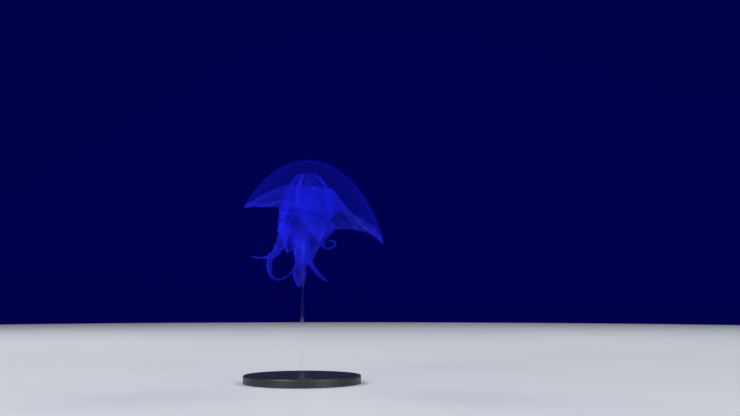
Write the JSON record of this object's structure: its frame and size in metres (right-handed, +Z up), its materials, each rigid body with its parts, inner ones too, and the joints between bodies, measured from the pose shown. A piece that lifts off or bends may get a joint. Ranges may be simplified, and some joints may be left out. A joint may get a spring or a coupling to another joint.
{
  "type": "jellyfish display model",
  "caption": "Moon jelly with a slanted, domed bell and short frilled oral arms, held over a round base by a thin rod.",
  "frame": {"origin": "centre of the stand base's underside, where the rod's axis meets it", "axes": "+Z up along the rod; +X towards the side where the bell hangs lowest; +Y away from the side the model is shown from"},
  "size_m": [0.1193, 0.1203, 0.1904],
  "materials": {
    "bell_jelly": "clear wet jelly, blue",
    "stomach_tissue": "cloudy wet tissue, blue",
    "gonad_tissue": "milky frilled tissue, pale blue",
    "arm_tissue": "thin frilled membrane, blue",
    "stand_paint": "satin black paint",
    "stand_acrylic": "clear acrylic"
  },
  "bodies": {
    "root": {"bell_dome": "bell_jelly", "bell_lobe_1": "bell_jelly", "bell_lobe_2": "bell_jelly", "bell_lobe_3": "bell_jelly", "bell_lobe_4": "bell_jelly", "bell_lobe_5": "bell_jelly", "bell_lobe_6": "bell_jelly", "bell_lobe_7": "bell_jelly", "bell_lobe_8": "bell_jelly", "gonad_1": "gonad_tissue", "gonad_2": "gonad_tissue", "gonad_3": "gonad_tissue", "gonad_4": "gonad_tissue", "mouth_stalk": "arm_tissue", "oral_arm_back_tip": "arm_tissue", "oral_arm_back_upper": "arm_tissue", "oral_arm_front_middle": "arm_tissue", "oral_arm_front_tip": "arm_tissue", "oral_arm_front_upper": "arm_tissue", "oral_arm_left_lower": "arm_tissue", "oral_arm_left_middle": "arm_tissue", "oral_arm_left_spike": "arm_tissue", "oral_arm_left_strand": "arm_tissue", "oral_arm_left_tip": "arm_tissue", "oral_arm_left_upper": "arm_tissue", "oral_arm_right_tip": "arm_tissue", "oral_arm_right_upper": "arm_tissue", "stand_base": "stand_paint", "stand_rod": "stand_acrylic", "stomach": "stomach_tissue"}
  },
  "joints": []
}
